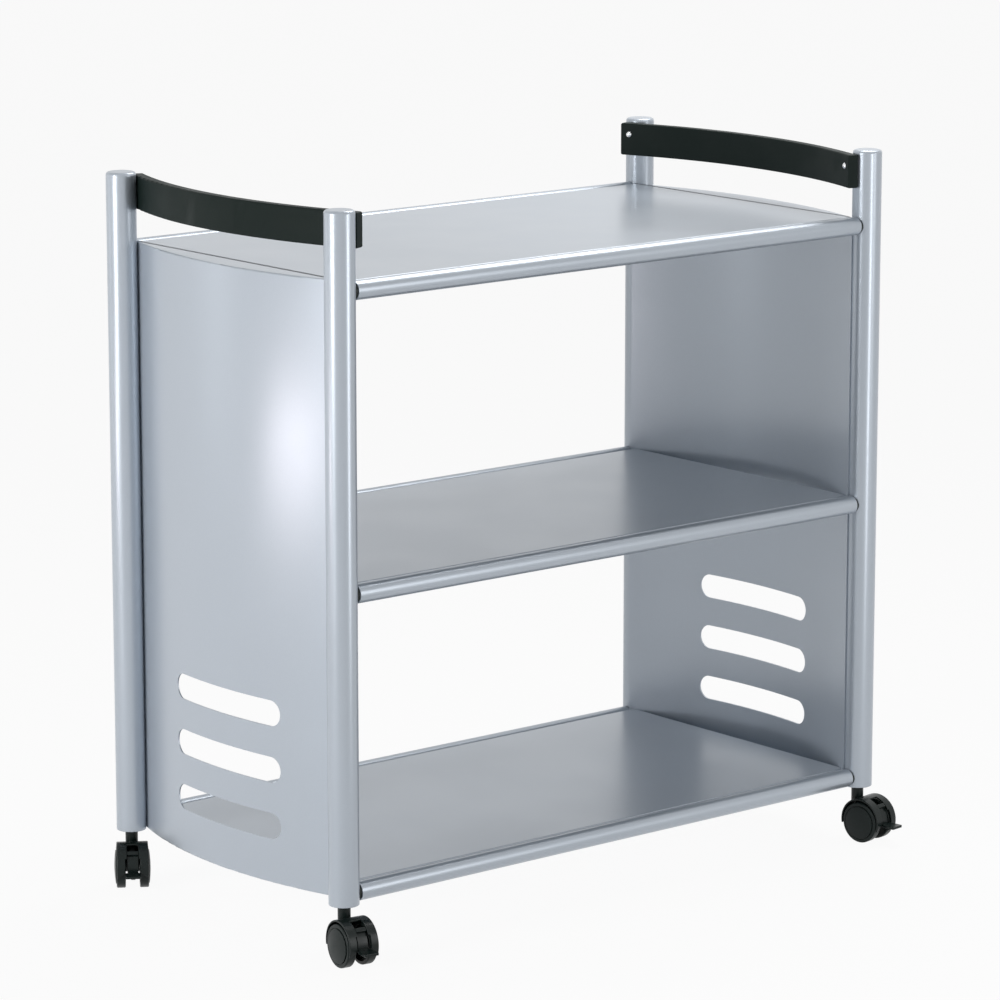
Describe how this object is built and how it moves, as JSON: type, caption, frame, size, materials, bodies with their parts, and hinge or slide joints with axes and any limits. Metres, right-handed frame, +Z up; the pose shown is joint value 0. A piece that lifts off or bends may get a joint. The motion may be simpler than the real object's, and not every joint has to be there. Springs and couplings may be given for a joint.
{
  "type": "office cart",
  "caption": "Three-shelf office trolley with tubular posts, bowed slotted end panels, two bowed push handles and braked twin-wheel casters.",
  "frame": {"origin": "on the floor under the middle of the cart, midway between the four posts", "axes": "+X along the cart towards its right end in the picture, +Y across it away from the viewer, +Z up"},
  "size_m": [0.8787, 0.5328, 0.851],
  "materials": {
    "silver_paint": "fine silver-grey metallic powder coat, satin",
    "black_handle": "black moulded plastic, satin",
    "black_plastic": "black moulded plastic, matt",
    "caster_black": "black moulded nylon, satin",
    "caster_wheel": "black moulded nylon, satin",
    "plated_steel": "zinc plated",
    "bright_screw": "polished"
  },
  "bodies": {
    "frame": {"caster_socket_back_left": "black_plastic", "caster_socket_back_right": "black_plastic", "caster_socket_front_left": "black_plastic", "caster_socket_front_right": "black_plastic", "caster_stem_back_left": "plated_steel", "caster_stem_back_right": "plated_steel", "caster_stem_front_left": "plated_steel", "caster_stem_front_right": "plated_steel", "end_panel_left": "silver_paint", "end_panel_right": "silver_paint", "grub_screws": "plated_steel", "handle_left": "black_handle", "handle_right": "black_handle", "handle_screws": "bright_screw", "post_back_left": "silver_paint", "post_back_right": "silver_paint", "post_cap_back_left": "silver_paint", "post_cap_back_right": "silver_paint", "post_cap_front_left": "silver_paint", "post_cap_front_right": "silver_paint", "post_front_left": "silver_paint", "post_front_right": "silver_paint", "rivet_nuts": "plated_steel", "shelf_bottom": "silver_paint", "shelf_middle": "silver_paint", "shelf_top": "silver_paint", "shelf_tube_bottom_back": "silver_paint", "shelf_tube_bottom_front": "silver_paint", "shelf_tube_middle_back": "silver_paint", "shelf_tube_middle_front": "silver_paint", "shelf_tube_top_back": "silver_paint", "shelf_tube_top_front": "silver_paint", "tube_plugs_bottom": "black_plastic", "tube_plugs_middle": "black_plastic", "tube_plugs_top": "black_plastic", "tube_spigots": "plated_steel"},
    "caster_front_left": {"caster_front_left_housing": "caster_black", "caster_front_left_axle": "plated_steel", "caster_front_left_brake_pin": "plated_steel"},
    "wheel_front_left_a": {"caster_front_left_wheel_a": "caster_wheel"},
    "wheel_front_left_b": {"caster_front_left_wheel_b": "caster_wheel"},
    "pedal_front_left": {"caster_front_left_brake_pedal": "caster_black"},
    "caster_front_right": {"caster_front_right_housing": "caster_black", "caster_front_right_axle": "plated_steel", "caster_front_right_brake_pin": "plated_steel"},
    "wheel_front_right_a": {"caster_front_right_wheel_a": "caster_wheel"},
    "wheel_front_right_b": {"caster_front_right_wheel_b": "caster_wheel"},
    "pedal_front_right": {"caster_front_right_brake_pedal": "caster_black"},
    "caster_back_left": {"caster_back_left_housing": "caster_black", "caster_back_left_axle": "plated_steel", "caster_back_left_brake_pin": "plated_steel"},
    "wheel_back_left_a": {"caster_back_left_wheel_a": "caster_wheel"},
    "wheel_back_left_b": {"caster_back_left_wheel_b": "caster_wheel"},
    "pedal_back_left": {"caster_back_left_brake_pedal": "caster_black"},
    "caster_back_right": {"caster_back_right_housing": "caster_black", "caster_back_right_axle": "plated_steel", "caster_back_right_brake_pin": "plated_steel"},
    "wheel_back_right_a": {"caster_back_right_wheel_a": "caster_wheel"},
    "wheel_back_right_b": {"caster_back_right_wheel_b": "caster_wheel"},
    "pedal_back_right": {"caster_back_right_brake_pedal": "caster_black"}
  },
  "joints": [
    {"name": "swivel_front_left", "type": "hinge", "parent": "frame", "child": "caster_front_left", "pos_m": [-0.4, -0.2046, 0.0665], "axis": [0, 0, 1], "continuous": true},
    {"name": "roll_front_left_a", "type": "hinge", "parent": "caster_front_left", "child": "wheel_front_left_a", "pos_m": [-0.40266, -0.2224, 0.025], "axis": [0.989, -0.1478, 0], "continuous": true},
    {"name": "roll_front_left_b", "type": "hinge", "parent": "caster_front_left", "child": "wheel_front_left_b", "pos_m": [-0.40266, -0.2224, 0.025], "axis": [0.989, -0.1478, 0], "continuous": true},
    {"name": "brake_front_left", "type": "hinge", "parent": "caster_front_left", "child": "pedal_front_left", "pos_m": [-0.40482, -0.23683, 0.04011], "axis": [0.989, -0.1478, 0], "range_deg": [0, 10]},
    {"name": "swivel_front_right", "type": "hinge", "parent": "frame", "child": "caster_front_right", "pos_m": [0.4, -0.2046, 0.0665], "axis": [0, 0, 1], "continuous": true},
    {"name": "roll_front_right_a", "type": "hinge", "parent": "caster_front_right", "child": "wheel_front_right_a", "pos_m": [0.40251, -0.22242, 0.025], "axis": [0.9903, 0.1392, 0], "continuous": true},
    {"name": "roll_front_right_b", "type": "hinge", "parent": "caster_front_right", "child": "wheel_front_right_b", "pos_m": [0.40251, -0.22242, 0.025], "axis": [0.9903, 0.1392, 0], "continuous": true},
    {"name": "brake_front_right", "type": "hinge", "parent": "caster_front_right", "child": "pedal_front_right", "pos_m": [0.40454, -0.23687, 0.04011], "axis": [0.9903, 0.1392, 0], "range_deg": [0, 10]},
    {"name": "swivel_back_left", "type": "hinge", "parent": "frame", "child": "caster_back_left", "pos_m": [-0.4, 0.2046, 0.0665], "axis": [0, 0, 1], "continuous": true},
    {"name": "roll_back_left_a", "type": "hinge", "parent": "caster_back_left", "child": "wheel_back_left_a", "pos_m": [-0.41007, 0.18968, 0.025], "axis": [0.829, -0.5592, 0], "continuous": true},
    {"name": "roll_back_left_b", "type": "hinge", "parent": "caster_back_left", "child": "wheel_back_left_b", "pos_m": [-0.41007, 0.18968, 0.025], "axis": [0.829, -0.5592, 0], "continuous": true},
    {"name": "brake_back_left", "type": "hinge", "parent": "caster_back_left", "child": "pedal_back_left", "pos_m": [-0.41822, 0.17758, 0.04011], "axis": [0.829, -0.5592, 0], "range_deg": [0, 10]},
    {"name": "swivel_back_right", "type": "hinge", "parent": "frame", "child": "caster_back_right", "pos_m": [0.4, 0.2046, 0.0665], "axis": [0, 0, 1], "continuous": true},
    {"name": "roll_back_right_a", "type": "hinge", "parent": "caster_back_right", "child": "wheel_back_right_a", "pos_m": [0.40789, 0.22078, 0.025], "axis": [-0.8988, 0.4384, 0], "continuous": true},
    {"name": "roll_back_right_b", "type": "hinge", "parent": "caster_back_right", "child": "wheel_back_right_b", "pos_m": [0.40789, 0.22078, 0.025], "axis": [-0.8988, 0.4384, 0], "continuous": true},
    {"name": "brake_back_right", "type": "hinge", "parent": "caster_back_right", "child": "pedal_back_right", "pos_m": [0.41429, 0.23389, 0.04011], "axis": [-0.8988, 0.4384, 0], "range_deg": [0, 10]}
  ]
}
